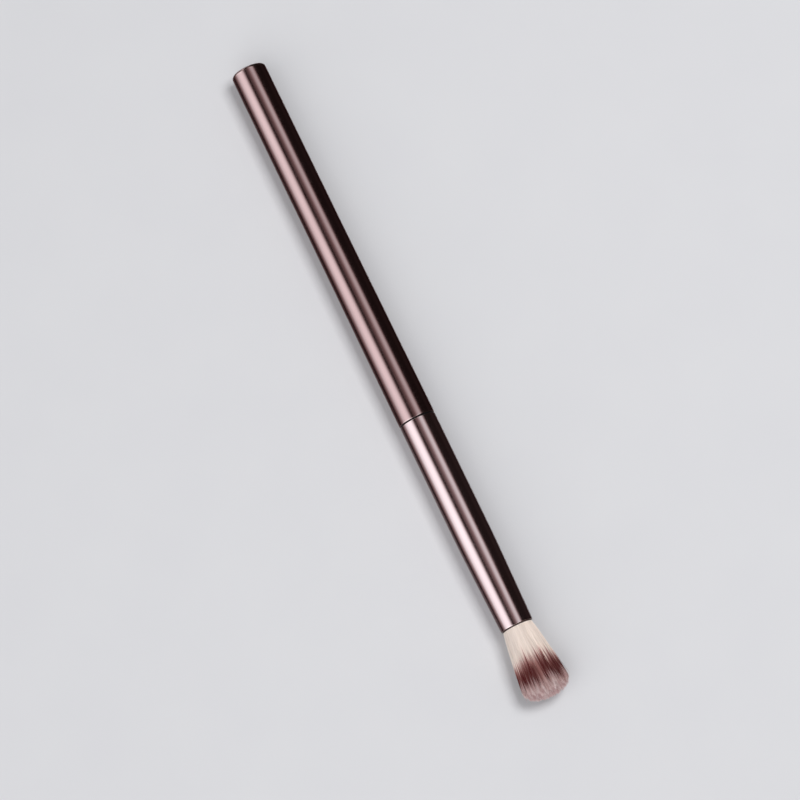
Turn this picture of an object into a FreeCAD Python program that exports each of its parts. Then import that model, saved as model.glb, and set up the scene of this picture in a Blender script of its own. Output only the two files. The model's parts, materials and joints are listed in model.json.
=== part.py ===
import FreeCAD, Part
import math
import os

# An eyeshadow brush: a weighted metal handle, a long drawn ferrule and a flared, domed tuft of bristles.
# It lies along X with the tuft at +X, resting on the surface z = 0, in millimetres.
# Every piece is first drawn about the brush's own axis, with x counted from the handle's back end,
# and is moved to its place on the surface when it is written.

Vector = FreeCAD.Vector

# Overall sizes
handle_length = 90.8
ferrule_length = 51.7
tuft_length = 17.5

# Handle shell: a metal tube with a closed, round-edged back, straight at first and swelling to the seam
handle_diameter = 8.25
handle_swell = 0.35
handle_straight_length = 40.0
shell_wall = 0.6
shell_end_wall = 1.0
shell_back_radius = 0.75
shell_inner_chamfer = 0.3
shell_front_chamfer = 0.12

# Balance weight: a steel slug on a pad of hot-melt glue at the closed end
weight_length = 40.0
weight_clearance = 0.1
weight_chamfer = 0.5
weight_glue_thickness = 0.4

# Handle core: a moulded plug in the shell, with a collar at the seam and a tenon for the ferrule
core_depth = 26.0
core_clearance = 0.04
core_chamfer = 0.5
core_bore_diameter = 4.0
core_front_wall = 2.0
collar_length = 0.26
collar_cover = 0.14
tenon_length = 15.0
tenon_clearance = 0.04

# Glue grooves turned round the core, each holding a ring of glue
groove_width = 1.2
groove_depth = 0.35
groove_pitch = 12.0
groove_lead = 5.0

# Ferrule: a drawn tube, a shade slimmer than the seam, drawn in to a conical nose, its edges broken
ferrule_step = 0.06
ferrule_wall = 0.35
ferrule_edge_chamfer = 0.1
nose_length = 20.5
mouth_diameter = 7.55

# Bound root of the tuft: a glue plug behind it and a ring round it
root_depth = 10.0
root_socket_depth = 2.0
root_plug_length = 5.0
ring_length = 1.6
ring_wall = 0.3
ring_clearance = 0.03
bundle_clearance = 0.02

# Tuft: an oval flare from the round mouth to a shoulder, with a domed crown
tuft_width = 11.0
tuft_thickness = 8.2
dome_height = 3.4
mouth_clearance = 0.02
flare_power = 0.75
dome_power = 2.3

# Bristles: the two outer rows one by one round a packed core, and the free tips on its crown
bristle_diameter = 0.24
bristle_tip_diameter = 0.16
bristle_gap = 0.05
row_gap = 0.05
core_gap = 0.04
crown_tip_length = 0.9
crown_pitch = 0.6
crown_gap = 0.03
bristle_sides = 3
core_sides = 20
stagger_share = 0.5
flare_station_shares = (0.25,)
dome_station_shares = (0.4, 0.75, 0.95)

# Places along the axis, from the handle's back end
x_seam = handle_length
x_ferrule_back = x_seam + collar_length
x_mouth = x_seam + ferrule_length
x_crown = x_mouth + tuft_length
x_shoulder = x_crown - dome_height
x_nose = x_mouth - nose_length
x_weight_back = shell_end_wall + weight_glue_thickness
x_core_back = x_seam - core_depth
x_tenon_front = x_ferrule_back + tenon_length
x_root = x_mouth - root_depth
x_plug_front = x_root + root_socket_depth
x_plug_back = x_plug_front - root_plug_length
x_ring_front = x_plug_front + ring_length

# Radii about the axis
handle_back_r = handle_diameter / 2
handle_front_r = (handle_diameter + handle_swell) / 2
bore_r = handle_back_r - shell_wall
weight_r = bore_r - weight_clearance
core_r = bore_r - core_clearance
ferrule_r = handle_front_r - ferrule_step
ferrule_bore_r = ferrule_r - ferrule_wall
collar_r = ferrule_bore_r + collar_cover
tenon_r = ferrule_bore_r - tenon_clearance
mouth_r = mouth_diameter / 2
bristle_r = bristle_diameter / 2
nose_slope = (ferrule_r - mouth_r) / nose_length


def ferrule_inside_r(x):
    """Radius of the ferrule's inner wall at a place along its nose."""
    return ferrule_bore_r - nose_slope * max(0, x - x_nose)


ring_outer_r = min(ferrule_inside_r(x_plug_front), ferrule_inside_r(x_ring_front)) - ring_clearance
ring_inner_r = ring_outer_r - ring_wall
bundle_r = ring_inner_r - bundle_clearance

# Circles that the centres of the outermost bristles lie on, in the binding ring and in the mouth
row_root_r = bundle_r - bristle_r
row_mouth_r = ferrule_inside_r(x_mouth) - mouth_clearance - bristle_r

# Each row's and the core's radius as a share of the outermost row's
second_row_share = 1 - (bristle_diameter + row_gap) / row_root_r
core_share = second_row_share - (bristle_r + core_gap) / row_root_r

axis_height = max(handle_back_r, handle_front_r, ferrule_r, mouth_r, tuft_thickness / 2)
place = Vector(-x_crown / 2, 0, axis_height)
axis_start = Vector(0, 0, 0)
axis_way = Vector(1, 0, 0)
full_turn = 360


def at(x, r):
    """A point of a half section, at a place along the axis and a radius."""
    return Vector(x, 0, r)


def line(start, end):
    return Part.LineSegment(start, end).toShape()


def round_edge(start, centre, end):
    """An arc about a centre, shorter than half a circle."""
    middle = (start - centre + end - centre).normalize() * start.distanceToPoint(centre)
    return Part.Arc(start, centre + middle, end).toShape()


def path(*points):
    """Straight edges through the points in turn."""
    return [line(a, b) for a, b in zip(points, points[1:])]


def turned(edges):
    """The solid that a closed half section sweeps round the axis."""
    return Part.Face(Part.Wire(edges)).revolve(axis_start, axis_way, full_turn)


def turned_ring(x_start, x_end, r_inner, r_outer):
    corners = [at(x_start, r_inner), at(x_start, r_outer), at(x_end, r_outer), at(x_end, r_inner)]
    return turned(path(*corners, corners[0]))


def handle_shell():
    """Closed tube: flat back with a rounded edge, straight barrel, slight taper up to a chamfered front."""
    back_flat = at(0, handle_back_r - shell_back_radius)
    back_top = at(shell_back_radius, handle_back_r)
    back_centre = at(shell_back_radius, handle_back_r - shell_back_radius)
    swell_start = at(handle_straight_length, handle_back_r)
    swell_end = at(x_seam - shell_front_chamfer, handle_front_r)
    front = [at(x_seam, handle_front_r - shell_front_chamfer), at(x_seam, bore_r)]
    bore_end = at(shell_end_wall + shell_inner_chamfer, bore_r)
    inside = [bore_end, at(shell_end_wall, bore_r - shell_inner_chamfer), at(shell_end_wall, 0)]
    edges = [line(at(0, 0), back_flat), round_edge(back_flat, back_centre, back_top)]
    edges += path(back_top, swell_start, swell_end, *front, *inside, at(0, 0))
    return turned(edges)


def weight_glue():
    """Pad of hot-melt glue that holds the slug to the closed end."""
    return turned_ring(shell_end_wall, x_weight_back, 0, weight_r - weight_chamfer)


def balance_weight():
    """Steel slug with both edges chamfered."""
    x_front = x_weight_back + weight_length
    flat_r = weight_r - weight_chamfer
    back = [at(x_weight_back, 0), at(x_weight_back, flat_r), at(x_weight_back + weight_chamfer, weight_r)]
    front = [at(x_front - weight_chamfer, weight_r), at(x_front, flat_r), at(x_front, 0)]
    return turned(path(*back, *front, back[0]))


def groove_centres(x_start, x_end):
    """Evenly pitched groove places on a length, clear of its two ends."""
    room = abs(x_end - x_start) - 2 * groove_lead
    way = math.copysign(groove_pitch, x_end - x_start)
    lead = math.copysign(groove_lead, x_end - x_start)
    return [x_start + lead + way * k for k in range(1 + int(room / groove_pitch))]


shell_grooves = groove_centres(x_seam, x_core_back)
tenon_grooves = groove_centres(x_ferrule_back, x_tenon_front)


def groove_rings(centres, surface_r, outer_r):
    """Rings that fill the grooves from their floor out to a radius."""
    floor_r = surface_r - groove_depth
    half = groove_width / 2
    return [turned_ring(x - half, x + half, floor_r, outer_r) for x in centres]


def handle_core():
    """Grooved plug and tenon either side of the collar, bored from behind to an even wall."""
    back = [at(x_core_back, core_bore_diameter / 2), at(x_core_back, core_r - core_chamfer)]
    body = [at(x_core_back + core_chamfer, core_r), at(x_seam, core_r)]
    collar = [at(x_seam, collar_r), at(x_ferrule_back, collar_r)]
    tenon = [at(x_ferrule_back, tenon_r), at(x_tenon_front - core_chamfer, tenon_r)]
    front = [at(x_tenon_front, tenon_r - core_chamfer), at(x_tenon_front, 0)]
    x_bore_end = x_tenon_front - core_front_wall
    bore = [at(x_bore_end, 0), at(x_bore_end, core_bore_diameter / 2)]
    plug = turned(path(*back, *body, *collar, *tenon, *front, *bore, back[0]))
    shell_cuts = groove_rings(shell_grooves, core_r, bore_r)
    ferrule_cuts = groove_rings(tenon_grooves, tenon_r, ferrule_bore_r)
    return plug.cut(shell_cuts + ferrule_cuts)


def core_glue_rings():
    return Part.makeCompound(groove_rings(shell_grooves, core_r, bore_r))


def ferrule_glue_rings():
    return Part.makeCompound(groove_rings(tenon_grooves, tenon_r, ferrule_bore_r))


def nose_point(x, inset):
    """A point of the conical nose, at a depth below the ferrule's outside."""
    return at(x, ferrule_r - inset - nose_slope * (x - x_nose))


def ferrule():
    """Drawn tube with a conical nose, the edges of both its ends broken."""
    chamfer = ferrule_edge_chamfer
    back_in = at(x_ferrule_back, ferrule_bore_r)
    back_out = at(x_ferrule_back, ferrule_r - chamfer)
    outer_start = at(x_ferrule_back + chamfer, ferrule_r)
    nose_bend = at(x_nose, ferrule_r)
    lip_out = [nose_point(x_mouth - chamfer, 0), nose_point(x_mouth, chamfer)]
    lip_in = [nose_point(x_mouth, ferrule_wall - chamfer), nose_point(x_mouth - chamfer, ferrule_wall)]
    inner_bend = at(x_nose, ferrule_bore_r)
    return turned(path(back_in, back_out, outer_start, nose_bend, *lip_out, *lip_in, inner_bend, back_in))


def root_plug():
    """Hardened glue filling the ferrule behind the tuft, with a socket that the bound root stands in."""
    wall = [at(x, ferrule_inside_r(x)) for x in (x_plug_back, x_plug_front)]
    socket = [at(x_plug_front, bundle_r), at(x_root, bundle_r), at(x_root, 0), at(x_plug_back, 0)]
    return turned(path(*wall, *socket, wall[0]))


def binding_ring():
    """Band that binds the root, seated on the plug and stopped by the nose's taper."""
    return turned_ring(x_plug_front, x_ring_front, ring_inner_r, ring_outer_r)


def spread(x):
    """Half width and half thickness of the outermost row of bristle centres at a place along the tuft."""
    if x <= x_mouth:
        share = max(0, (x - x_ring_front) / (x_mouth - x_ring_front))
        r = row_root_r + (row_mouth_r - row_root_r) * share
        return r, r
    share = ((x - x_mouth) / (x_shoulder - x_mouth)) ** flare_power
    width = row_mouth_r + (tuft_width / 2 - bristle_r - row_mouth_r) * share
    thickness = row_mouth_r + (tuft_thickness / 2 - bristle_r - row_mouth_r) * share
    return width, thickness


def dome_rise(row_share, height):
    """How far the crown stands above the shoulder at a share of the way out from the axis."""
    return height * (1 - min(1, row_share) ** dome_power) ** (1 / dome_power)


def tuft_point(x, row_share, angle):
    width, thickness = spread(x)
    return Vector(x, row_share * width * math.cos(angle), row_share * thickness * math.sin(angle))


def across(centre, width, thickness, sides, first_angle):
    """An even polygon across the axis, inside the oval with these half sizes."""
    turns = [first_angle + 2 * math.pi * k / sides for k in range(sides)]
    corners = [centre + Vector(0, width * math.cos(a), thickness * math.sin(a)) for a in turns]
    return Part.makePolygon(corners + corners[:1])


def ruled(sections):
    """A solid with straight walls from each section to the next."""
    return Part.makeLoft(sections, True, True)


def bristle(points, radii, angle):
    """One tapered bristle, ruled from its root to its tip."""
    return ruled([across(point, r, r, bristle_sides, angle) for point, r in zip(points, radii)])


# Sections that every bristle and the packed core share, so that they flare side by side
flare_stations = [x_root, x_ring_front, x_mouth]
flare_stations += [x_mouth + (x_shoulder - x_mouth) * s for s in flare_station_shares]


def full_bristle(row_share, angle):
    """A bristle from the root plug through the ring and the mouth to its own height on the dome."""
    stations = flare_stations + [x_shoulder + dome_rise(row_share, dome_height)]
    taper_shares = [max(0, (x - x_mouth) / (stations[-1] - x_mouth)) for x in stations]
    radii = [bristle_r + (bristle_tip_diameter / 2 - bristle_r) * s for s in taper_shares]
    return bristle([tuft_point(x, row_share, angle) for x in stations], radii, angle)


def bristle_row(row_share, offset_share):
    """As many bristles round the tuft as fit side by side in the binding ring."""
    count = int(2 * math.pi * row_share * row_root_r / (bristle_diameter + bristle_gap))
    step = 2 * math.pi / count
    return Part.makeCompound([full_bristle(row_share, step * (k + offset_share)) for k in range(count)])


def bristles_outer_row():
    return bristle_row(1, 0)


def bristles_second_row():
    return bristle_row(second_row_share, stagger_share)


core_dome_height = dome_height - crown_tip_length


def core_rise(seat_share):
    """How far the packed core's dome stands above the shoulder at a share of the way out to its rim."""
    return core_dome_height * math.sqrt(1 - seat_share ** 2)


def bristle_core():
    """The packed middle of the tuft: ovals ruled from the root to the shoulder and on over a low dome."""
    sections = []
    for x in flare_stations + [x_shoulder]:
        width, thickness = [core_share * half for half in spread(x)]
        sections.append(across(at(x, 0), width, thickness, core_sides, 0))
    for height_share in dome_station_shares:
        rim_share = math.sqrt(1 - height_share ** 2)
        top = at(x_shoulder + core_dome_height * height_share, 0)
        sections.append(across(top, rim_share * width, rim_share * thickness, core_sides, 0))
    return ruled(sections)


def bristle_crown():
    """Free ends of the packed bristles, standing in rows on the core's crown and ending on the dome."""
    width, thickness = spread(x_shoulder)
    rows = int(core_share * thickness / crown_pitch)
    tips = []
    for row in range(rows):
        row_share = core_share * (row + stagger_share) / rows
        count = max(1, int(math.pi * row_share * (width + thickness) / crown_pitch))
        seat = core_rise(max(0, (row_share - bristle_r / thickness) / core_share))
        stations = [x_shoulder + seat + crown_gap, x_shoulder + dome_rise(row_share, dome_height)]
        for k in range(count):
            angle = 2 * math.pi * (k + stagger_share * (row % 2)) / count
            points = [tuft_point(x, row_share, angle) for x in stations]
            tips.append(bristle(points, [bristle_r, bristle_tip_diameter / 2], angle))
    return Part.makeCompound(tips)


pieces = (handle_shell, weight_glue, balance_weight, handle_core, core_glue_rings, ferrule_glue_rings,
          ferrule, root_plug, binding_ring, bristle_core, bristles_outer_row, bristles_second_row,
          bristle_crown)

os.makedirs("parts", exist_ok=True)
for make in pieces:
    shape = make()
    shape.translate(place)
    shape.exportStep("parts/" + make.__name__ + ".step")
    print(make.__name__, len(shape.Solids), "solids", round(shape.Volume, 2), "mm3 valid", shape.isValid())
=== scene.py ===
# %% [markdown]
# # An eyeshadow brush
#
# The brush is three things in a row: a polished metal handle, a long metal ferrule and a flared tuft of
# dyed bristles. Its solids come ready made from CAD and set every size and place, so this lesson adds
# what solids lack: mirror-smooth metal, thousands of fine bristles, finishes and light.

# %% Load the solids
import bmesh
import bpy
import json
import math
from mathutils import Matrix, Vector


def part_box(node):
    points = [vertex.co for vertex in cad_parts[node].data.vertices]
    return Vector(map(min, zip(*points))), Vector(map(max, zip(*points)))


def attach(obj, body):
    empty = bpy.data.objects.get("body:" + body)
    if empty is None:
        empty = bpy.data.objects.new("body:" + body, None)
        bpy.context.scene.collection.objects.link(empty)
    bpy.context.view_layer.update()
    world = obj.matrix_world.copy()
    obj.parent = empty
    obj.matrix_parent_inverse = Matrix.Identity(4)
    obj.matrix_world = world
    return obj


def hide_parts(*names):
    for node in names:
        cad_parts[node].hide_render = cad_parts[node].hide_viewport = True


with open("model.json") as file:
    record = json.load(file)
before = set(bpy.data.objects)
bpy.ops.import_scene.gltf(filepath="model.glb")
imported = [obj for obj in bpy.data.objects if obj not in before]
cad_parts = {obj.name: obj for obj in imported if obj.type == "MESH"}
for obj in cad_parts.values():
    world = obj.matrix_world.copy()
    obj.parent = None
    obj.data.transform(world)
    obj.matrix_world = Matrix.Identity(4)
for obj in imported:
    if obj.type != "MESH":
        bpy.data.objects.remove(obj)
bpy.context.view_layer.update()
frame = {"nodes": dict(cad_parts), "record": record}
mm = 0.001
print("pieces from CAD:", ", ".join(frame["nodes"]))

# %% [markdown]
# ## Three helpers
#
# Colours are easiest to pick as hex values on a screen, but a renderer adds light in linear numbers, so
# one function turns the first into the second. Node trees take many lines when each node is set up by
# hand, so another function adds a node, fills in its settings, links the sockets it is given and hands
# back the socket that the next node needs. The third starts a material whose patterns are measured in
# millimetres.

# %% Colour, node and material helpers
def linear(hex_colour):
    """A screen colour such as "8C6A63" as the linear red, green, blue and alpha that shaders expect."""
    screen = [int(hex_colour[k:k + 2], 16) / 255 for k in (0, 2, 4)]
    return [c / 12.92 if c <= 0.04045 else ((c + 0.055) / 1.055) ** 2.4 for c in screen] + [1.0]


def add(tree, kind, settings=None, inputs=None):
    """Adds a node and returns its first output in use. Sockets given as inputs are linked, values set."""
    node = tree.nodes.new(kind)
    for name, value in (settings or {}).items():
        setattr(node, name, value)
    for key, value in (inputs or {}).items():
        socket = next(s for k, s in enumerate(node.inputs) if s.enabled and key in (k, s.name))
        if isinstance(value, bpy.types.NodeSocket):
            tree.links.new(value, socket)
        else:
            socket.default_value = value
    return next((s for s in node.outputs if s.enabled), None)


def new_material(name):
    """A new material with its tree, its Principled shader and its object coordinates in millimetres."""
    material = bpy.data.materials.new(name)
    material.use_nodes = True
    tree = material.node_tree
    metres = add(tree, "ShaderNodeTexCoord").node.outputs["Object"]
    place = add(tree, "ShaderNodeMapping", inputs={"Vector": metres, "Scale": [1 / mm] * 3})
    return material, tree, tree.nodes["Principled BSDF"], place


print("helpers ready")

# %% [markdown]
# ## Anodised metal
#
# Both tubes are aluminium that was polished and then anodised in a rose-tinged bronze, the ferrule a
# paler shade than the handle. To the eye that is a tinted mirror, a little soft, whose colour only shows
# where it reflects something bright. Light that grazes the tube crosses more of the dyed layer, so the
# flanks lack the white glare of bare metal, and a grey edge tint takes it away. Polishing on a lathe
# leaves fine rings round the tube and fingers leave a faint haze, and both show as small changes of
# roughness. The layer is thinnest where edges rub, so a "wear" attribute that the tubes carry on their
# edges lets a little bare metal through.

# %% Anodised aluminium in two shades
def anodised_aluminium(name, tint, deep_tint, flank_tint, bare_metal, gloss_range):
    material, tree, shader, place = new_material(name)
    haze_size_mm = 7.0
    tint_size_mm = 25.0
    # Real polishing rings are some hundredths of a millimetre apart, drawn coarser here so that they show
    ring_spacing_mm = 0.4
    ring_length_mm = 50.0
    ring_weight = 0.3
    ring_depth = 0.01 * mm

    lathe_place = add(tree, "ShaderNodeMapping",
                      inputs={"Vector": place,
                              "Scale": [1 / ring_spacing_mm, 1 / ring_length_mm, 1 / ring_length_mm]})
    rings = add(tree, "ShaderNodeTexNoise", inputs={"Vector": lathe_place, "Scale": 1.0, "Detail": 2.0})
    haze = add(tree, "ShaderNodeTexNoise",
               inputs={"Vector": place, "Scale": 1 / haze_size_mm, "Detail": 4.0, "Roughness": 0.6})
    dulled = add(tree, "ShaderNodeMix", inputs={"Factor": ring_weight, "A": haze, "B": rings})
    gloss = add(tree, "ShaderNodeMapRange",
                inputs={"Value": dulled, "From Min": 0.3, "From Max": 0.7,
                        "To Min": gloss_range[0], "To Max": gloss_range[1]})
    ripple = add(tree, "ShaderNodeBump",
                 inputs={"Strength": 0.04, "Distance": ring_depth, "Height": rings})

    # The dye bath leaves the tint a shade deeper here and there along the tube
    depth = add(tree, "ShaderNodeTexNoise",
                inputs={"Vector": place, "Scale": 1 / tint_size_mm, "Detail": 1.0})
    dyed = add(tree, "ShaderNodeMix", {"data_type": "RGBA"},
               {"Factor": depth, "A": linear(deep_tint), "B": linear(tint)})
    wear = add(tree, "ShaderNodeAttribute", {"attribute_name": "wear"}).node.outputs["Fac"]
    rubbed = add(tree, "ShaderNodeMath", {"operation": "MULTIPLY"}, {0: wear, 1: haze})
    colour = add(tree, "ShaderNodeMix", {"data_type": "RGBA"},
                 {"Factor": rubbed, "A": dyed, "B": linear(bare_metal)})

    tree.links.new(colour, shader.inputs["Base Color"])
    tree.links.new(gloss, shader.inputs["Roughness"])
    tree.links.new(ripple, shader.inputs["Normal"])
    shader.inputs["Metallic"].default_value = 1.0
    shader.inputs["Specular Tint"].default_value = linear(flank_tint)
    return material


handle_finish = anodised_aluminium("anodised_aluminium_dark_bronze", tint="7C6767", deep_tint="755F5F",
                                   flank_tint="9C9291", bare_metal="A89593", gloss_range=(0.15, 0.21))
ferrule_finish = anodised_aluminium("anodised_aluminium_rose_bronze", tint="928081", deep_tint="8A7778",
                                    flank_tint="A29998", bare_metal="BFAFAC", gloss_range=(0.14, 0.2))
print("made", handle_finish.name, "and", ferrule_finish.name)

# %% [markdown]
# ## Turning smooth tubes
#
# The CAD tubes have the right shape, but they arrive as long flat facets, and a mirror shows every facet.
# So the two outer tubes are turned again here from the same profile, with many more steps round. A
# profile is a list of corners, each with a rounding radius. A rounded corner becomes a short arc with a
# support ring on each side, so that smooth shading stays inside the arc instead of leaking along the
# tube. The arcs also carry the "wear" value that the metal reads.

# %% Profile and lathe helpers
arc_steps = 6
turn_steps = 192
support = 0.03 * mm
axis_height = (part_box("handle_shell")[0].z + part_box("handle_shell")[1].z) / 2


def rounded(corners):
    """Ring places (x, radius, wear) along a profile of (x, radius, rounding) corners."""
    rings = []
    for k, (x, r, rounding) in enumerate(corners):
        here = Vector((x, r))
        if rounding == 0:
            rings.append((x, r, 0.0))
            continue
        back = (Vector(corners[k - 1][:2]) - here).normalized()
        ahead = (Vector(corners[k + 1][:2]) - here).normalized()
        half = back.angle(ahead) / 2
        start = here + back * rounding / math.tan(half)
        end = here + ahead * rounding / math.tan(half)
        centre = here + (back + ahead).normalized() * rounding / math.sin(half)
        rings.append((*(start + back * support), 0.0))
        for step in range(arc_steps + 1):
            spoke = (start - centre).slerp(end - centre, step / arc_steps).normalized()
            rings.append((*(centre + spoke * rounding), 1.0))
        rings.append((*(end + ahead * support), 0.0))
    return rings


def turned_piece(name, corners, material):
    """A closed tube turned about the brush's axis from a profile, smooth all over."""
    shape = bmesh.new()
    wear = shape.verts.layers.float.new("wear")
    profile = []
    for x, r, rub in rounded(corners):
        vert = shape.verts.new((x, 0, axis_height + r))
        vert[wear] = rub
        profile.append(vert)
    edges = [shape.edges.new(pair) for pair in zip(profile, profile[1:])]
    bmesh.ops.spin(shape, geom=profile + edges, cent=(0, 0, axis_height), axis=(1, 0, 0),
                   angle=2 * math.pi, steps=turn_steps, use_merge=True)
    bmesh.ops.remove_doubles(shape, verts=shape.verts, dist=0.0001 * mm)
    bmesh.ops.recalc_face_normals(shape, faces=shape.faces)
    mesh = bpy.data.meshes.new(name)
    shape.to_mesh(mesh)
    shape.free()
    mesh.shade_smooth()
    mesh.materials.append(material)
    piece = bpy.data.objects.new(name, mesh)
    bpy.context.collection.objects.link(piece)
    print(name, len(mesh.polygons), "faces")
    return piece


# %% [markdown]
# ## The handle
#
# A tube closed at the back, with a rounded back edge, a straight half that a stand can hold and a slight
# taper up to the seam. The record's mount gives the straight half's radius and length, and the CAD box
# the length and the radius at the seam.

# %% Turn the handle
barrel = next(m for m in frame["record"]["mounts"] if m["name"] == "handle_barrel")
barrel_r = barrel["dims"]["r_mm"] * mm
back_rounding = 0.75 * mm
front_rounding = 0.2 * mm
shell_wall = 0.6 * mm
shell_end_wall = 1.0 * mm
handle_back, handle_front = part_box("handle_shell")
taper_start = barrel["pos_m"][0] + barrel["dims"]["length_mm"] * mm / 2
seam_r = handle_front.z - axis_height
bore_r = barrel_r - shell_wall

handle_tube = turned_piece("handle_tube", [
    (handle_back.x, 0, 0),
    (handle_back.x, barrel_r, back_rounding),
    (taper_start, barrel_r, 0),
    (handle_front.x, seam_r, front_rounding),
    (handle_front.x, bore_r, 0),
    (handle_back.x + shell_end_wall, bore_r, 0),
    (handle_back.x + shell_end_wall, 0, 0),
], handle_finish)
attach(handle_tube, "root")
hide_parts("handle_shell")

# %% [markdown]
# ## The ferrule
#
# A drawn tube a shade slimmer than the handle. Its last stretch is drawn in to a narrower mouth, and the
# die leaves no corner there but a slow bend. A parabola is the simplest curve that starts along the
# straight tube and ends along the cone, and six rings on it are enough once they are shaded smooth.

# %% Turn the ferrule
ferrule_wall = 0.35 * mm
mouth_r = 7.55 * mm / 2
nose_length = 20.5 * mm
nose_blend = 4.0 * mm
bend_shares = (-1, -0.6, -0.2, 0.2, 0.6, 1)
edge_rounding = 0.15 * mm
lip_rounding = 0.12 * mm
ferrule_back, ferrule_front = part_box("ferrule")
ferrule_r = ferrule_front.z - axis_height
nose_start = ferrule_front.x - nose_length
nose_slope = (ferrule_r - mouth_r) / nose_length


def bend_ring(share):
    """A place on the soft bend from the straight tube to the nose, from -1 at its start to 1 at its end."""
    drop = nose_slope * nose_blend * (1 + share) ** 2 / 4
    return nose_start + nose_blend * share, ferrule_r - drop, 0


ferrule_tube = turned_piece("ferrule_tube", [
    (ferrule_back.x, ferrule_r - ferrule_wall, 0),
    (ferrule_back.x, ferrule_r, edge_rounding),
    *[bend_ring(share) for share in bend_shares],
    (ferrule_front.x, mouth_r, lip_rounding),
    (ferrule_front.x, mouth_r - ferrule_wall, lip_rounding),
    (nose_start, ferrule_r - ferrule_wall, 0),
    (ferrule_back.x, ferrule_r - ferrule_wall, 0),
], ferrule_finish)
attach(ferrule_tube, "root")
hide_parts("ferrule")

# %% [markdown]
# ## Dyed filament
#
# The bristles are tapered nylon filament, cream at the root, dyed maroon in a band and left a dusty pink
# at the tip, with the satin gloss of drawn nylon. The dye stops at a different height on each filament,
# which makes the band's edges streaky, so each bristle carries its own numbers. Its "reach" runs from 0
# at the ferrule's mouth to 1 at the crown, "dye_start" and "dye_end" say where its band lies, "dye" how
# strongly it took, and one more number makes one bristle lighter than the next, a little at random and
# mostly as painted light and shade of its lock. Right at the mouth a dark brown line is painted on the
# roots as the shade that the ferrule's lip casts into the gap round them.

# %% Dyed nylon filament
def dyed_nylon_with_painted_shade():
    material, tree, shader, place = new_material("dyed_nylon_with_painted_shade")
    edge_softness = 0.115
    # How far past the mouth the roots are painted dark, as the shade of the gap under the lip
    mouth_shade_reach = 0.009
    grain_size_mm = 1 / 3
    cream, rose, maroon = "FFF1E7", "C08A84", "52060B"
    dark_tip, pale_tip = "E2B4B4", "FFF4F2"
    # The dark brown of that painted shade at the mouth
    painted_mouth_shade = "3A2422"
    own = {name: add(tree, "ShaderNodeAttribute", {"attribute_name": name}).node.outputs["Fac"]
           for name in ("reach", "dye_start", "dye_end", "dye", "tone_and_painted_light")}
    past = {}
    for edge in ("dye_start", "dye_end"):
        low = add(tree, "ShaderNodeMath", {"operation": "SUBTRACT"}, {0: own[edge], 1: edge_softness})
        high = add(tree, "ShaderNodeMath", {"operation": "ADD"}, {0: own[edge], 1: edge_softness})
        past[edge] = add(tree, "ShaderNodeMapRange", {"interpolation_type": "SMOOTHSTEP"},
                         {"Value": own["reach"], "From Min": low, "From Max": high})
    taken = add(tree, "ShaderNodeMath", {"operation": "MULTIPLY"}, {0: past["dye_start"], 1: own["dye"]})
    clear = add(tree, "ShaderNodeMath", {"operation": "SUBTRACT"}, {0: 1.0, 1: past["dye_end"]})
    left_in = add(tree, "ShaderNodeMath", {"operation": "MULTIPLY"}, {0: taken, 1: clear})
    # A little dye turns the cream a dusty rose, and only a full bath makes it maroon
    banded = add(tree, "ShaderNodeValToRGB", inputs={"Fac": left_in})
    stops = banded.node.color_ramp.elements
    stops.new(0.5)
    for stop, hex_colour in zip(stops, (cream, rose, maroon)):
        stop.color = linear(hex_colour)
    dusty = add(tree, "ShaderNodeMix", {"data_type": "RGBA"},
                {"Factor": own["tone_and_painted_light"], "A": linear(dark_tip), "B": linear(pale_tip)})
    tipped = add(tree, "ShaderNodeMix", {"data_type": "RGBA"},
                 {"Factor": past["dye_end"], "A": banded, "B": dusty})
    # Painted shade: the roots turn dark brown right at the mouth, where the lip shades the gap
    past_mouth_shade = add(tree, "ShaderNodeMapRange", {"interpolation_type": "SMOOTHSTEP"},
                {"Value": own["reach"], "From Min": mouth_shade_reach, "From Max": mouth_shade_reach * 2})
    with_mouth_shade = add(tree, "ShaderNodeMix", {"data_type": "RGBA"},
                 {"Factor": past_mouth_shade, "A": linear(painted_mouth_shade), "B": tipped})
    # The colour is scaled by the tone, which is mostly painted light and shade of the bristle's lock
    light = add(tree, "ShaderNodeMapRange", inputs={"Value": own["tone_and_painted_light"], "To Min": 0.88, "To Max": 1.04})
    colour = add(tree, "ShaderNodeVectorMath", {"operation": "SCALE"}, {0: with_mouth_shade, "Scale": light})
    grain = add(tree, "ShaderNodeTexNoise",
                inputs={"Vector": place, "Scale": 1 / grain_size_mm, "Detail": 2.0})
    satin = add(tree, "ShaderNodeMapRange", inputs={"Value": grain, "To Min": 0.38, "To Max": 0.58})
    tree.links.new(colour, shader.inputs["Base Color"])
    tree.links.new(satin, shader.inputs["Roughness"])
    shader.inputs["IOR"].default_value = 1.53
    # The lit tent would lay a pale sheen over every hair, which a real tuft lacks, so gloss is held down
    shader.inputs["Specular IOR Level"].default_value = 0.1
    return material


bristle_finish = dyed_nylon_with_painted_shade()
print("made", bristle_finish.name)

# %% [markdown]
# ## A tree that grows a tuft
#
# Thousands of bristles that fan out of a round mouth and end on a dome are a rule, not a drawing, so
# Geometry Nodes grow them. Points are scattered on a flat unit disc, one per bristle, and each gets a
# straight unit line. The rule then reads a point's place on the disc and its height on the line and works
# out where it belongs in the tuft. First come the tree and its named inputs.

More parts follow.
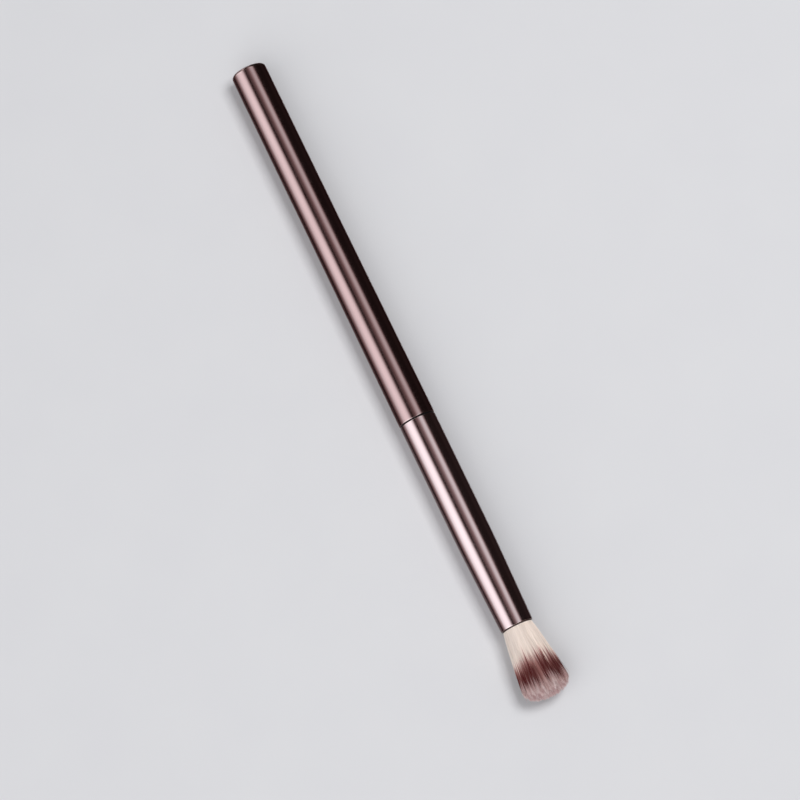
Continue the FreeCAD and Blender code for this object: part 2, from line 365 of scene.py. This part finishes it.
# %% The tree's inputs
tuft_tree = bpy.data.node_groups.new("flared_tuft", "GeometryNodeTree")
tuft_inputs = {}
for kind, names in {
    "NodeSocketInt": ("Bristles", "Seed"),
    "NodeSocketFloat": ("Inner Area Share", "Outer Area Share", "Root Place", "Mouth Place",
                        "Shoulder Place", "Crown Place", "Axis Height", "Mouth Radius", "Half Width",
                        "Half Thickness", "Flare Power", "Dome Power", "Bristle Radius",
                        "Length Scatter", "Stray", "Lock Pull"),
    "NodeSocketMaterial": ("Finish",),
}.items():
    for name in names:
        socket = tuft_tree.interface.new_socket(name, in_out="INPUT", socket_type=kind)
        tuft_inputs[name] = socket.identifier
tuft_tree.interface.new_socket("Geometry", in_out="OUTPUT", socket_type="NodeSocketGeometry")
given = add(tuft_tree, "NodeGroupInput").node.outputs
print(len(tuft_inputs), "inputs")

# %% [markdown]
# The disc has an area of pi, so the density that gives a wanted number of bristles is that number over
# pi. Each line is cut into a few points, enough to follow the flare, and its place in the list of curves
# is the number that its random values grow from.

# %% Scatter straight lines on a disc
line_points = 10
disc = add(tuft_tree, "GeometryNodeMeshCircle", {"fill_type": "NGON"}, {"Vertices": 96, "Radius": 1.0})
density = add(tuft_tree, "ShaderNodeMath", {"operation": "DIVIDE"}, {0: given["Bristles"], 1: math.pi})
scatter = add(tuft_tree, "GeometryNodeDistributePointsOnFaces",
              inputs={"Mesh": disc, "Density": density, "Seed": given["Seed"]})
unit_line = add(tuft_tree, "GeometryNodeCurvePrimitiveLine", inputs={"Start": (0, 0, 0), "End": (0, 0, 1)})
fine_line = add(tuft_tree, "GeometryNodeResampleCurve", inputs={"Curve": unit_line, "Count": line_points})
lines = add(tuft_tree, "GeometryNodeInstanceOnPoints", inputs={"Points": scatter, "Instance": fine_line})
straight = add(tuft_tree, "GeometryNodeRealizeInstances", inputs={"Geometry": lines})
number = add(tuft_tree, "GeometryNodeCurveOfPoint")
unit_place = add(tuft_tree, "GeometryNodeInputPosition")
disc_y, disc_z, height = add(tuft_tree, "ShaderNodeSeparateXYZ", inputs={0: unit_place}).node.outputs
print("straight bristles of", line_points, "points each")

# %% [markdown]
# One tree makes every layer of the tuft, from its sheath to its heart, by squeezing the disc into a ring
# between two shares of its area. Squeezing by area and not by radius keeps the bristles evenly spread.

# %% Squeeze the disc
flat_place = add(tuft_tree, "ShaderNodeCombineXYZ", inputs={0: disc_y, 1: disc_z})
area_share = add(tuft_tree, "ShaderNodeVectorMath", {"operation": "DOT_PRODUCT"},
                 {0: flat_place, 1: flat_place})
ring_share = add(tuft_tree, "ShaderNodeMapRange",
                 inputs={"Value": area_share, "To Min": given["Inner Area Share"],
                         "To Max": given["Outer Area Share"]})
growth = add(tuft_tree, "ShaderNodeMath", {"operation": "DIVIDE"}, {0: ring_share, 1: area_share})
stretch = add(tuft_tree, "ShaderNodeMath", {"operation": "SQRT"}, {0: growth})
across = add(tuft_tree, "ShaderNodeVectorMath", {"operation": "SCALE"}, {0: flat_place, "Scale": stretch})
side = add(tuft_tree, "ShaderNodeSeparateXYZ", inputs={0: across})
print("the disc becomes a ring of any thickness")

# %% [markdown]
# A bristle's distance from the axis decides how high on the dome it ends. Bristle tips also cling together
# in small locks, which a pattern of cells marks out: each cell is a lock with a length of its own, and the
# bristles far from its centre end a little lower, so that the crown ends in small points. Sixteen locks
# from the middle to the side make each about a third of a millimetre wide.

# %% Each bristle's length
outward = add(tuft_tree, "ShaderNodeMath", {"operation": "SQRT"}, {0: ring_share})
fall = add(tuft_tree, "ShaderNodeMath", {"operation": "POWER"}, {0: outward, 1: given["Dome Power"]})
left_over = add(tuft_tree, "ShaderNodeMath", {"operation": "SUBTRACT", "use_clamp": True},
                {0: 1.0, 1: fall})
root_power = add(tuft_tree, "ShaderNodeMath", {"operation": "DIVIDE"}, {0: 1.0, 1: given["Dome Power"]})
rise = add(tuft_tree, "ShaderNodeMath", {"operation": "POWER"}, {0: left_over, 1: root_power})
even_tip = add(tuft_tree, "ShaderNodeMix",
               inputs={"Factor": rise, "A": given["Shoulder Place"], "B": given["Crown Place"]})
length_seed = add(tuft_tree, "ShaderNodeMath", {"operation": "ADD"}, {0: given["Seed"], 1: 1.0})
# Shares of the length scatter, negative where a bristle ends short of the dome
own_shortest, own_longest = -0.5, 0.2
own_length = add(tuft_tree, "FunctionNodeRandomValue",
                 inputs={"Min": own_shortest, "Max": own_longest, "ID": number, "Seed": length_seed})
# Locks are wider through the tuft's thickness than across it
lock_squeeze = (1, 0.6, 1)
locks_to_side = 16.0
lock_shortest, lock_longest = -0.8, 0.7
lock_point = -1.2
lock_place = add(tuft_tree, "ShaderNodeVectorMath", {"operation": "MULTIPLY"},
                 {0: across, 1: lock_squeeze})
locks = add(tuft_tree, "ShaderNodeTexVoronoi", {"voronoi_dimensions": "2D"},
            {"Vector": lock_place, "Scale": locks_to_side, "Randomness": 0.9}).node.outputs
# The lock's second number is painted light and shade, the same for every hair of the lock
lock_luck, lock_painted_light, _ = add(tuft_tree, "ShaderNodeSeparateXYZ", inputs={0: locks["Color"]}).node.outputs
shared_length = add(tuft_tree, "ShaderNodeMapRange",
                    inputs={"Value": lock_luck, "To Min": lock_shortest, "To Max": lock_longest})
uneven = add(tuft_tree, "ShaderNodeMath", {"operation": "ADD"}, {0: own_length, 1: shared_length})
pointed = add(tuft_tree, "ShaderNodeMath", {"operation": "MULTIPLY_ADD"},
              {0: locks["Distance"], 1: lock_point, 2: uneven})
tip = add(tuft_tree, "ShaderNodeMath", {"operation": "MULTIPLY_ADD"},
          {0: pointed, 1: given["Length Scatter"], 2: even_tip})
along = add(tuft_tree, "ShaderNodeMix", inputs={"Factor": height, "A": given["Root Place"], "B": tip})
print("lengths follow the dome")

# %% [markdown]
# Past the mouth the tuft opens quickly at first and then more slowly, which a power just under 1 gives.
# Real bristles also lean a little by themselves and are drawn towards the middle of their lock. Both grow
# from nothing at the mouth, and the lowest bristles rest on the table instead of passing through it.

# %% Flare, locks and strays
table_clearance = 0.06 * mm
# Leaning starts late, because near the mouth the bristles hold each other straight
lean_power = 1.8
opened = add(tuft_tree, "ShaderNodeMapRange", {"clamp": False},
             {"Value": along, "From Min": given["Mouth Place"], "From Max": given["Shoulder Place"]})
outside = add(tuft_tree, "ShaderNodeMath", {"operation": "MAXIMUM"}, {0: opened, 1: 0.0})
flare = add(tuft_tree, "ShaderNodeMath", {"operation": "POWER"}, {0: outside, 1: given["Flare Power"]})
half_width = add(tuft_tree, "ShaderNodeMix", {"clamp_factor": False},
                 {"Factor": flare, "A": given["Mouth Radius"], "B": given["Half Width"]})
half_thickness = add(tuft_tree, "ShaderNodeMix", {"clamp_factor": False},
                     {"Factor": flare, "A": given["Mouth Radius"], "B": given["Half Thickness"]})

stray_seed = add(tuft_tree, "ShaderNodeMath", {"operation": "ADD"}, {0: given["Seed"], 1: 2.0})
own_lean = add(tuft_tree, "FunctionNodeRandomValue", {"data_type": "FLOAT_VECTOR"},
               {"Min": (-1, -1, -1), "Max": (1, 1, 1), "ID": number, "Seed": stray_seed})
stray = add(tuft_tree, "ShaderNodeVectorMath", {"operation": "SCALE"},
            {0: own_lean, "Scale": given["Stray"]})
late = add(tuft_tree, "ShaderNodeMath", {"operation": "POWER"}, {0: outside, 1: lean_power})
grown_stray = add(tuft_tree, "ShaderNodeVectorMath", {"operation": "SCALE"}, {0: stray, "Scale": late})
grown_pull = add(tuft_tree, "ShaderNodeMath", {"operation": "MULTIPLY"}, {0: late, 1: given["Lock Pull"]})
lock_middle = add(tuft_tree, "ShaderNodeVectorMath", {"operation": "DIVIDE"},
                  {0: locks["Position"], 1: lock_squeeze})
inward = add(tuft_tree, "ShaderNodeVectorMath", {"operation": "SUBTRACT"}, {0: lock_middle, 1: across})
drawn = add(tuft_tree, "ShaderNodeVectorMath", {"operation": "MULTIPLY_ADD"},
            {0: inward, 1: grown_pull, 2: across})
drawn_side, drawn_top, _ = add(tuft_tree, "ShaderNodeSeparateXYZ", inputs={0: drawn}).node.outputs

fan_y = add(tuft_tree, "ShaderNodeMath", {"operation": "MULTIPLY"}, {0: drawn_side, 1: half_width})
fan_z = add(tuft_tree, "ShaderNodeMath", {"operation": "MULTIPLY_ADD"},
            {0: drawn_top, 1: half_thickness, 2: given["Axis Height"]})
fanned = add(tuft_tree, "ShaderNodeCombineXYZ", inputs={0: along, 1: fan_y, 2: fan_z})
leaning = add(tuft_tree, "ShaderNodeVectorMath", {"operation": "ADD"}, {0: fanned, 1: grown_stray})
grown = add(tuft_tree, "ShaderNodeVectorMath", {"operation": "MAXIMUM"},
            {0: leaning, 1: (-1.0, -1.0, table_clearance)})
print("flare rule ready")

# %% [markdown]
# The dye band lies almost square across the tuft and starts a little nearer the tip at its sides. The tree
# works out each bristle's band from its place across the tuft, a fine noise for streaks about a third of a
# millimetre wide and a random number for single hairs. All these places are shares of the way from the
# mouth to the crown.

# %% Each bristle's dye band
middle_places = {"dye_start": 0.49, "dye_end": 0.81}
slants = {"dye_start": 0.03, "dye_end": 0.02}
arches = {"dye_start": 0.05, "dye_end": 0.02}
streak_reach, hair_reach = 0.2, 0.05
# Streaks run on through the tuft's thickness much further than across it
streak_squeeze = (1, 0.22, 1)
streaks_to_side = 17.0
combed = add(tuft_tree, "ShaderNodeVectorMath", {"operation": "MULTIPLY"}, {0: across, 1: streak_squeeze})
streaks = add(tuft_tree, "ShaderNodeTexNoise",
              inputs={"Vector": combed, "Scale": streaks_to_side, "Detail": 3.0}).node.outputs["Color"]
streak_parts = add(tuft_tree, "ShaderNodeSeparateXYZ", inputs={0: streaks}).node.outputs
streak_shares = dict(zip(middle_places, streak_parts))
dye_places = {}
for step, (name, middle) in enumerate(middle_places.items()):
    bow = add(tuft_tree, "ShaderNodeMath", {"operation": "MULTIPLY_ADD"},
              {0: side, 1: arches[name], 2: slants[name]})
    arched = add(tuft_tree, "ShaderNodeMath", {"operation": "MULTIPLY_ADD"}, {0: side, 1: bow, 2: middle})
    streak = add(tuft_tree, "ShaderNodeMapRange", {"clamp": False},
                 {"Value": streak_shares[name], "To Min": -streak_reach, "To Max": streak_reach})
    hair_seed = add(tuft_tree, "ShaderNodeMath", {"operation": "ADD"}, {0: given["Seed"], 1: 3.0 + step})
    hair = add(tuft_tree, "FunctionNodeRandomValue",
               inputs={"Min": -hair_reach, "Max": hair_reach, "ID": number, "Seed": hair_seed})
    streaky = add(tuft_tree, "ShaderNodeMath", {"operation": "ADD"}, {0: arched, 1: streak})
    dye_places[name] = add(tuft_tree, "ShaderNodeMath", {"operation": "ADD"}, {0: streaky, 1: hair})
print("band in the middle:", middle_places)

# %% [markdown]
# In the middle of the tuft the dye has crept along some streaks towards the mouth. The noise gives a third
# value that nothing else uses yet, and where it is high the band starts nearer the mouth.

# %% Streaks that start early
early_reach = 0.07
early = add(tuft_tree, "ShaderNodeMapRange",
            inputs={"Value": streak_parts[2], "From Min": 0.5, "From Max": 0.75, "To Max": early_reach})
from_centre = add(tuft_tree, "ShaderNodeMath", {"operation": "MULTIPLY"}, {0: side, 1: side})
central = add(tuft_tree, "ShaderNodeMath", {"operation": "SUBTRACT", "use_clamp": True},
              {0: 1.0, 1: from_centre})
early_here = add(tuft_tree, "ShaderNodeMath", {"operation": "MULTIPLY"}, {0: early, 1: central})
dye_places["dye_start"] = add(tuft_tree, "ShaderNodeMath", {"operation": "SUBTRACT"},
                              {0: dye_places["dye_start"], 1: early_here})
print("early streaks reach", early_reach, "further")

# %% [markdown]
# A bath never dyes every hair alike. A random number raised to a small power leaves most bristles fully
# dyed and a few pale, and a slow noise, about 2 mm wide across the tuft, makes the dye take well in some
# places and poorly in others. The tone of a bristle follows mostly its lock, because the hairs of a lock
# catch the light together.

# %% How strongly the dye took, and the tone
dye_seed = add(tuft_tree, "ShaderNodeMath", {"operation": "ADD"}, {0: given["Seed"], 1: 5.0})
luck = add(tuft_tree, "FunctionNodeRandomValue",
           inputs={"Min": 0.0, "Max": 1.0, "ID": number, "Seed": dye_seed})
luck_power = 0.08
lock_weight = 0.75
poorest_patch = 0.6
hair_dye = add(tuft_tree, "ShaderNodeMath", {"operation": "POWER"}, {0: luck, 1: luck_power})
patch_spread, patch_shift = (3.2, 0.7, 1), (7.6, 0.75, 0)
patch_place = add(tuft_tree, "ShaderNodeVectorMath", {"operation": "MULTIPLY_ADD"},
                  {0: across, 1: patch_spread, 2: patch_shift})
patches = add(tuft_tree, "ShaderNodeTexNoise", inputs={"Vector": patch_place, "Scale": 1.0, "Detail": 2.0})
patch_dye = add(tuft_tree, "ShaderNodeMapRange",
                inputs={"Value": patches, "From Min": 0.3, "From Max": 0.45,
                        "To Min": poorest_patch, "To Max": 1.0})
dye = add(tuft_tree, "ShaderNodeMath", {"operation": "MULTIPLY"}, {0: hair_dye, 1: patch_dye})
tone_seed = add(tuft_tree, "ShaderNodeMath", {"operation": "ADD"}, {0: given["Seed"], 1: 6.0})
hair_tone = add(tuft_tree, "FunctionNodeRandomValue",
                inputs={"Min": 0.0, "Max": 1.0, "ID": number, "Seed": tone_seed})
# The tone is mostly the lock's painted light and shade and a little each hair's own random tone
tone_and_painted_light = add(tuft_tree, "ShaderNodeMix", inputs={"Factor": lock_weight, "A": hair_tone, "B": lock_painted_light})
reach = add(tuft_tree, "ShaderNodeMapRange", {"clamp": False},
            {"Value": along, "From Min": given["Mouth Place"], "From Max": given["Crown Place"]})
print("poorest patches take", poorest_patch, "of the dye")

# %% [markdown]
# Last, the numbers are stored on the lines, the lines are bent into place, given a tapering thickness and
# swept into three-sided hairs. Three sides with smooth shading look round at this size and keep the mesh
# small.

# %% Bend, thicken and finish
tip_radius = 0.015 * mm
# A high power keeps the hair thick for most of its length and narrows it near the tip
taper_power = 7.0
hair_sides = 3
stored = straight
for name, value in (("reach", reach), ("dye", dye), ("tone_and_painted_light", tone_and_painted_light), *dye_places.items()):
    stored = add(tuft_tree, "GeometryNodeStoreNamedAttribute", {"data_type": "FLOAT", "domain": "POINT"},
                 {"Geometry": stored, "Name": name, "Value": value})
narrowing = add(tuft_tree, "ShaderNodeMath", {"operation": "POWER"}, {0: height, 1: taper_power})
taper = add(tuft_tree, "ShaderNodeMapRange",
            inputs={"Value": narrowing, "To Min": given["Bristle Radius"], "To Max": tip_radius})
thick = add(tuft_tree, "GeometryNodeSetCurveRadius", inputs={"Curve": stored, "Radius": taper})
bent = add(tuft_tree, "GeometryNodeSetPosition", inputs={"Geometry": thick, "Position": grown})
section = add(tuft_tree, "GeometryNodeCurvePrimitiveCircle",
              inputs={"Resolution": hair_sides, "Radius": 1.0})
own_radius = add(tuft_tree, "GeometryNodeInputRadius")
hairs = add(tuft_tree, "GeometryNodeCurveToMesh",
            inputs={"Curve": bent, "Profile Curve": section, "Scale": own_radius, "Fill Caps": True})
smooth = add(tuft_tree, "GeometryNodeSetShadeSmooth", inputs={0: hairs})
real = add(tuft_tree, "GeometryNodeRealizeInstances", inputs={"Geometry": smooth})
coated = add(tuft_tree, "GeometryNodeSetMaterial", inputs={"Geometry": real, "Material": given["Finish"]})
add(tuft_tree, "NodeGroupOutput", inputs={"Geometry": coated})
print(len(tuft_tree.nodes), "nodes")

# %% [markdown]
# ## Growing the tuft
#
# The tuft's sizes are the CAD ones, read from the ferrule and from the boxes of the CAD bristles, so the
# hairs fill the same outline. The tuft is grown in four layers, so that each stays a mesh of a handy size,
# and a few strays stand away from the sheath as on any brush that has been handled. An evaluated copy of
# each piece is kept as a plain mesh and the modifier is dropped.

# %% Grow the layers and the strays
tuft_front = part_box("bristles_outer_row")[1]
crown_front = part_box("bristle_crown")[1]
root_depth_inside = 2.0 * mm
root_clearance = 0.1 * mm
tuft_sizes = {
    "Root Place": ferrule_front.x - root_depth_inside,
    "Mouth Place": ferrule_front.x,
    "Shoulder Place": tuft_front.x,
    "Crown Place": crown_front.x,
    "Axis Height": axis_height,
    "Mouth Radius": mouth_r - ferrule_wall - root_clearance,
    "Half Width": tuft_front.y,
    "Half Thickness": tuft_front.z - axis_height,
    "Flare Power": 0.75,
    "Dome Power": 2.1,
    "Bristle Radius": 0.04 * mm,
    "Length Scatter": 0.5 * mm,
    "Stray": 0.1 * mm,
    "Lock Pull": 0.15,
    "Finish": bristle_finish,
}


def grow(name, bristles, seed, area_shares, changes):
    """One piece of the tuft, grown by the tree and kept as a plain mesh."""
    piece = bpy.data.objects.new(name, bpy.data.meshes.new(name))
    bpy.context.collection.objects.link(piece)
    modifier = piece.modifiers.new("tuft", "NODES")
    modifier.node_group = tuft_tree
    values = {**tuft_sizes, "Bristles": bristles, "Seed": seed, "Inner Area Share": area_shares[0],
              "Outer Area Share": area_shares[1], **changes}
    for label, value in values.items():
        modifier[tuft_inputs[label]] = value
    graph = bpy.context.evaluated_depsgraph_get()
    mesh = bpy.data.meshes.new_from_object(piece.evaluated_get(graph), preserve_all_data_layers=True,
                                           depsgraph=graph)
    piece.modifiers.clear()
    piece.data = mesh
    print(name, len(mesh.polygons), "faces")
    return piece


layer_bristles = 3200
stray_bristles = 70
for name, node, bristles, seed, area_shares, changes in (
    ("bristle_sheath", "bristles_outer_row", layer_bristles, 11, (0.75, 1.0), {}),
    ("bristle_underlayer", "bristles_second_row", layer_bristles, 19, (0.5, 0.75), {}),
    ("bristle_middle", "bristle_core", layer_bristles, 23, (0.25, 0.5), {}),
    ("bristle_heart", "bristle_crown", layer_bristles, 31, (0.0, 0.25), {}),
    ("bristle_strays", "bristles_outer_row", stray_bristles, 37, (0.8, 1.0), {"Stray": 0.6 * mm}),
):
    piece = grow(name, bristles, seed, area_shares, changes)
    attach(piece, "root")
    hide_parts(node)

# %% [markdown]
# ## What is inside
#
# Most of the inner pieces are hidden, but the black collar of the core shows as the dark line at the
# seam, and a reader may take the brush apart, so each gets the finish of its own material.

# %% Finishes of the inner pieces
def grained_finish(name, colours, gloss_range, grain_mm, ior):
    """A finish of two close colours and a varying gloss in one grain. An index of None means a metal."""
    material, tree, shader, place = new_material(name)
    grain_place = add(tree, "ShaderNodeMapping",
                      inputs={"Vector": place, "Scale": [1 / size for size in grain_mm]})
    grain = add(tree, "ShaderNodeTexNoise", inputs={"Vector": grain_place, "Scale": 1.0, "Detail": 3.0})
    shade = add(tree, "ShaderNodeMix", {"data_type": "RGBA"},
                {"Factor": grain, "A": linear(colours[0]), "B": linear(colours[1])})
    gloss = add(tree, "ShaderNodeMapRange",
                inputs={"Value": grain, "To Min": gloss_range[0], "To Max": gloss_range[1]})
    relief = add(tree, "ShaderNodeBump", inputs={"Strength": 0.2, "Distance": 0.02 * mm, "Height": grain})
    tree.links.new(shade, shader.inputs["Base Color"])
    tree.links.new(gloss, shader.inputs["Roughness"])
    tree.links.new(relief, shader.inputs["Normal"])
    if ior is None:
        shader.inputs["Metallic"].default_value = 1.0
    else:
        shader.inputs["IOR"].default_value = ior
    return material


# Moulded ABS is near black with the dull gloss of a spark-eroded mould
black_abs = grained_finish("moulded_black_abs", ("0C0B0C", "131113"), (0.45, 0.6), (0.3, 0.3, 0.3), 1.54)
# Its collar lies sunk between two bright tubes, so its gloss is held down to keep the seam dark
black_abs.node_tree.nodes["Principled BSDF"].inputs["Specular IOR Level"].default_value = 0.12
# Turned steel is grey with tool marks round the slug
steel = grained_finish("turned_mild_steel", ("8A8A8C", "9C9C9D"), (0.28, 0.42), (0.25, 5.0, 5.0), None)
# Hot-melt glue is a milky amber wax
hot_melt = grained_finish("hot_melt_glue", ("D8CBAA", "C9B98F"), (0.3, 0.42), (1.5, 1.5, 1.5), 1.49)
# Cured epoxy is honey coloured and glossy
epoxy = grained_finish("cured_epoxy", ("B98F4E", "A67C3D"), (0.12, 0.22), (1.0, 1.0, 1.0), 1.55)
# Rolled aluminium strip is pale with a grain along the strip
strip = grained_finish("rolled_aluminium", ("C4C5C6", "B4B5B7"), (0.3, 0.4), (0.2, 4.0, 4.0), None)

inner_finishes = {"handle_core": black_abs, "balance_weight": steel, "weight_glue": hot_melt,
                  "core_glue_rings": epoxy, "ferrule_glue_rings": epoxy, "root_plug": epoxy,
                  "binding_ring": strip}
for name, finish in inner_finishes.items():
    materials = frame["nodes"][name].data.materials
    materials.clear()
    materials.append(finish)
    print(finish.name, "on", name)

# %% [markdown]
# ## A plain stage
#
# The brush lies on a table of pale matt laminate, whose colour clouds very slightly over some 20 mm.

# %% A pale table
cloud_size_mm = 20.0
table_half = 4.0
laminate, tree, shader, place = new_material("matt_pale_laminate")
clouds = add(tree, "ShaderNodeTexNoise",
             inputs={"Vector": place, "Scale": 1 / cloud_size_mm, "Detail": 3.0})
shade = add(tree, "ShaderNodeMix", {"data_type": "RGBA"},
            {"Factor": clouds, "A": linear("D2D2D5"), "B": linear("D6D6D8")})
tree.links.new(shade, shader.inputs["Base Color"])
shader.inputs["Roughness"].default_value = 0.7
shader.inputs["Specular IOR Level"].default_value = 0.0
table_mesh = bpy.data.meshes.new("table")
table_mesh.from_pydata([(-table_half, -table_half, 0), (table_half, -table_half, 0),
                        (table_half, table_half, 0), (-table_half, table_half, 0)], [], [(0, 1, 2, 3)])
table_mesh.materials.append(laminate)
table = bpy.data.objects.new("table", table_mesh)
bpy.context.collection.objects.link(table)
print("table of", laminate.name)

# %% [markdown]
# A soft key lamp above on the right lights the brush and lays its shadow to the left, and a wide fill lamp
# in front on the left opens up the bristles' shaded side. Both are kept out of reflections, where the
# paper tent of the next step does their work.

# %% Lamps and world
for name, place, size, energy in (("key_lamp", (-0.05, 0.36, 0.9), 0.4, 5.6),
                                  ("fill_lamp", (0.4, -0.62, 0.6), 1.2, 5.5)):
    lamp = bpy.data.lights.new(name, "AREA")
    lamp.size = size
    lamp.energy = energy
    lamp_object = bpy.data.objects.new(name, lamp)
    lamp_object.location = place
    lamp_object.rotation_euler = Vector(place).to_track_quat("Z", "Y").to_euler()
    lamp_object.visible_glossy = False
    bpy.context.collection.objects.link(lamp_object)
world = bpy.data.worlds.new("studio")
bpy.context.scene.world = world
world.use_nodes = True
world.node_tree.nodes["Background"].inputs["Color"].default_value = linear("C8C9CC")
world.node_tree.nodes["Background"].inputs["Strength"].default_value = 0.5
bpy.context.scene.view_settings.view_transform = "Standard"
print("stage set")

# %% [markdown]
# Polished tubes are drawn by what they reflect, so a photographer stands a paper tent round them and lights
# only parts of it. Here the tent is bright low on the left, which gives the broad stripe, and dimmer
# overhead on the right, which gives the second stripe. The dark gap between the two is the thin line that
# parts them, and dark paper on the right keeps that flank deep. The paper is a little warmer where it is
# dim, which keeps the darker reflections bronze, and it is dimmer for a stretch behind the brush, so that
# the handle's round back edge turns dark. The tent only shows in reflections, so it doesn't wash the
# shadow out.

# %% Lit paper
paper = bpy.data.materials.new("lit_paper")
paper.use_nodes = True
paper.node_tree.nodes.clear()
glow = add(paper.node_tree, "ShaderNodeAttribute", {"attribute_name": "glow"}).node.outputs["Fac"]
dim_glow, full_glow = 0.2, 2.2
lit = add(paper.node_tree, "ShaderNodeMapRange",
          inputs={"Value": glow, "From Min": dim_glow, "From Max": full_glow})
paper_tone = add(paper.node_tree, "ShaderNodeMix", {"data_type": "RGBA"},
                 {"Factor": lit, "A": linear("FFDAD7"), "B": linear("F0FAFC")})
emission = add(paper.node_tree, "ShaderNodeEmission", inputs={"Color": paper_tone, "Strength": glow})
add(paper.node_tree, "ShaderNodeOutputMaterial", inputs={"Surface": emission})
print("made", paper.name)

# %% [markdown]
# The tent's cross-section is a row of edges, each with its glow: a skirt just above the table on the left,
# a roof over the brush and a skirt on the right. Columns along the brush then say how much of that glow is
# left, and the sheets between rows and columns blend it smoothly.

# %% The tent's shape and glow
# How brightly the paper glows on the table left of the brush, by its distance in millimetres
left_skirt = [(8.5, 0.0), (12, 0.1), (17, 0.4), (28, 1.1), (69, 1.9), (300, 2.6)]
# Then over the brush, by the angle in degrees from straight up, positive to the right
roof = [(-89, 2.9), (-80, 3.6), (-72, 4.2), (-64, 4.5), (-56, 4.5), (-49, 4.3), (-43, 3.7), (-37, 2.6),
        (-32, 1.2), (-27, 0.1), (-20, 0.02), (-14, 0.3), (-6, 0.45), (0, 0.7), (6, 1.3), (12, 2.0),
        (20, 2.5), (27, 2.4), (32, 1.6), (37, 0.5), (42, 0.04), (89, 0.04)]
# And on the table on the right
right_skirt = [(300, 0.07), (8.5, 0.07)]
tent_radius = 0.6
skirt_height = 0.5 * mm
rows = [(-distance * mm, skirt_height, level) for distance, level in left_skirt]
rows += [(tent_radius * math.sin(math.radians(angle)), tent_radius * math.cos(math.radians(angle)), level)
         for angle, level in roof]
rows += [(distance * mm, skirt_height, level) for distance, level in right_skirt]
# How much of that light is left along the tent, by the place in metres
columns = [(-3.2, 0.8), (-1.6, 0.8), (-1.3, 0.2), (-0.65, 0.2), (-0.32, 1.0), (3.2, 1.0)]

tent_mesh = bpy.data.meshes.new("paper_tent")
corners = [(x, y, z) for y, z, _ in rows for x, _ in columns]
across_row = len(columns)
sheets = [(k, k + 1, k + across_row + 1, k + across_row) for k in range(len(corners) - across_row)
          if (k + 1) % across_row]
tent_mesh.from_pydata(corners, [], sheets)
glows = tent_mesh.attributes.new("glow", "FLOAT", "POINT")
glows.data.foreach_set("value", [level * share for _, _, level in rows for _, share in columns])
tent_mesh.materials.append(paper)
tent = bpy.data.objects.new("paper_tent", tent_mesh)
bpy.context.collection.objects.link(tent)
tent.visible_camera = tent.visible_diffuse = tent.visible_shadow = False
print("tent of", len(rows), "rows")

# %% [markdown]
# ## The camera
#
# The photograph looks down on the brush steeply from its tuft's end, with the brush running from the
# upper left to the lower right. The camera stands back along two angles from the point that it aims at.

# %% Aim the camera
view_azimuth, view_elevation = math.radians(64.75), math.radians(76.84)
view_distance = 0.8
field_of_view = math.radians(12.88)
aim = Vector((4.12 * mm, -1.1 * mm, 0))
back = Vector((math.sin(view_azimuth) * math.cos(view_elevation),
               -math.cos(view_azimuth) * math.cos(view_elevation), math.sin(view_elevation)))
right = Vector((math.cos(view_azimuth), math.sin(view_azimuth), 0))
camera = bpy.data.objects.new("camera", bpy.data.cameras.new("camera"))
camera.data.angle = field_of_view
camera.data.clip_start = 0.01
turn = Matrix((right, back.cross(right), back)).transposed().to_4x4()
camera.matrix_world = Matrix.Translation(aim + back * view_distance) @ turn
bpy.context.collection.objects.link(camera)
bpy.context.scene.camera = camera
print("camera at", [round(c, 3) for c in camera.matrix_world.translation])
